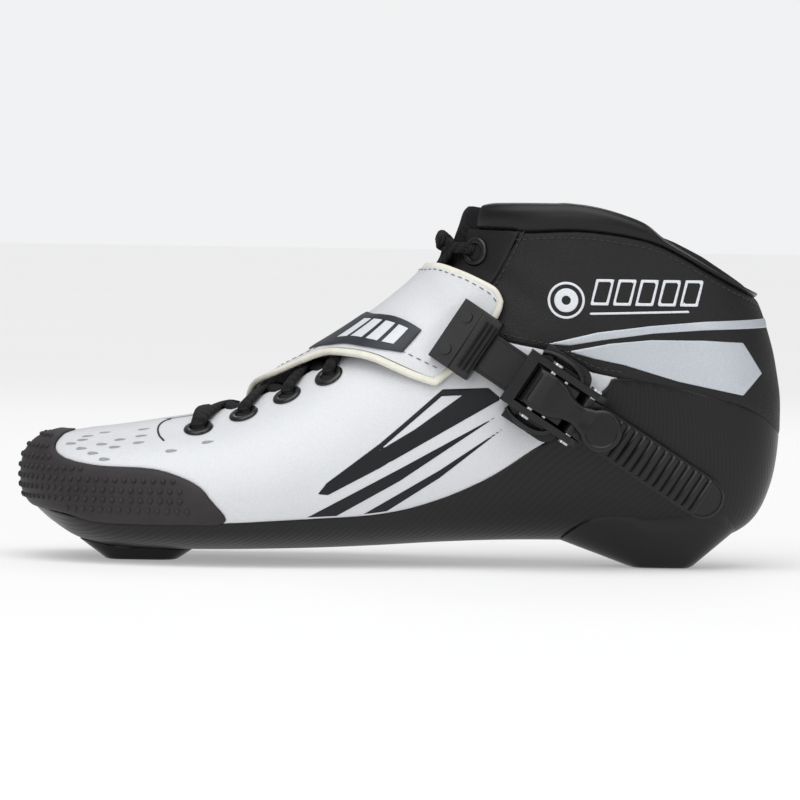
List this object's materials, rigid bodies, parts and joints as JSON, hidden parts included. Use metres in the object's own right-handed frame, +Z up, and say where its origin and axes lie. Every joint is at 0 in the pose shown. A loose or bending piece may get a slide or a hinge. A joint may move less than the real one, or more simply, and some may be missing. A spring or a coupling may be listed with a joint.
{
  "type": "speed skate boot",
  "caption": "Low-cut inline speed skate boot with carbon base, rubber toe bumper, laces, instep strap and ratchet buckle; frame mounts under toe and heel.",
  "frame": {"origin": "mouth of the heel mounting hole, on the plane of the two frame pads", "axes": "+X towards the heel and -X towards the toe, -Y out of the buckle side, +Z up through the ankle opening"},
  "size_m": [0.2834, 0.1033, 0.1335],
  "materials": {
    "carbon": "moulded carbon fibre, satin resin",
    "insert_steel": "turned stainless steel",
    "bumper_rubber": "matte moulded rubber",
    "white_leather": "smooth white microfibre",
    "cuff_leather": "fine grained black microfibre",
    "eyestay_vinyl": "smooth black microfibre",
    "collar_vinyl": "shiny padded vinyl",
    "neoprene": "matte black neoprene",
    "tongue_fabric": "padded black textile",
    "lining_textile": "brushed textile over foam",
    "footbed_foam": "textile covered foam",
    "eyelet_black": "black enamelled brass",
    "lace_black": "flat woven polyester",
    "piping_cream": "cream binding tape",
    "badge_rubber": "moulded rubber patch",
    "pad_rubber": "black rubber",
    "screw_steel": "stainless steel",
    "screw_black": "black oxide steel",
    "buckle_plastic": "moulded glass filled nylon",
    "ladder_plastic": "moulded flexible nylon",
    "pin_steel": "polished steel",
    "spring_steel": "spring steel"
  },
  "bodies": {
    "boot": {"carbon_base": "carbon", "front_mount_block": "carbon", "heel_mount_block": "carbon", "mount_inserts": "insert_steel", "toe_bumper": "bumper_rubber", "vamp": "white_leather", "ankle_cuff": "cuff_leather", "eyestay_panel": "eyestay_vinyl", "collar_padding": "collar_vinyl", "achilles_pad": "neoprene", "tongue": "tongue_fabric", "lining": "lining_textile", "footbed": "footbed_foam", "eyelets_lateral": "eyelet_black", "eyelets_medial": "eyelet_black", "laces": "lace_black", "instep_strap": "white_leather", "strap_piping": "piping_cream", "strap_badge": "badge_rubber", "strap_anchor_pad": "pad_rubber", "strap_rivets": "screw_steel", "buckle_pad": "pad_rubber", "buckle_base": "buckle_plastic", "buckle_screw": "screw_steel", "buckle_nut": "screw_steel", "lever_pin": "pin_steel", "lever_spring": "spring_steel", "holding_pawl_pin": "pin_steel", "holding_pawl_spring": "spring_steel"},
    "ladder": {"strap_end_plate": "buckle_plastic", "keeper_block": "buckle_plastic", "ladder_strap": "ladder_plastic", "end_plate_screws": "screw_black"},
    "lever": {"drive_lever": "buckle_plastic", "drive_pawl_pin": "pin_steel"},
    "drive_pawl": {"drive_pawl": "pin_steel"},
    "holding_pawl": {"holding_pawl": "buckle_plastic"}
  },
  "joints": [
    {"name": "ladder_travel", "type": "hinge", "parent": "boot", "child": "ladder", "pos_m": [-0.04285, 0.1404, 0.06422], "axis": [0.5446, 0, 0.8387], "range_deg": [-4.3, 2.2], "deforming": ["instep_strap", "strap_piping", "strap_badge"]},
    {"name": "lever_hinge", "type": "hinge", "parent": "boot", "child": "lever", "pos_m": [-0.0462, -0.0472, 0.0664], "axis": [-0.5446, 0, -0.8387], "range_deg": [0, 75], "stiffness_Nm_per_rad": 0.02, "springref_deg": -17.19},
    {"name": "drive_pawl_hinge", "type": "hinge", "parent": "lever", "child": "drive_pawl", "pos_m": [-0.04117, -0.0478, 0.06313], "axis": [-0.5446, 0, -0.8387], "range_deg": [0, 12], "stiffness_Nm_per_rad": 0.001, "springref_deg": -17.19},
    {"name": "holding_pawl_hinge", "type": "hinge", "parent": "boot", "child": "holding_pawl", "pos_m": [-0.03194, -0.046, 0.05714], "axis": [0.5446, 0, 0.8387], "range_deg": [0, 14], "stiffness_Nm_per_rad": 0.001, "springref_deg": -17.19}
  ]
}
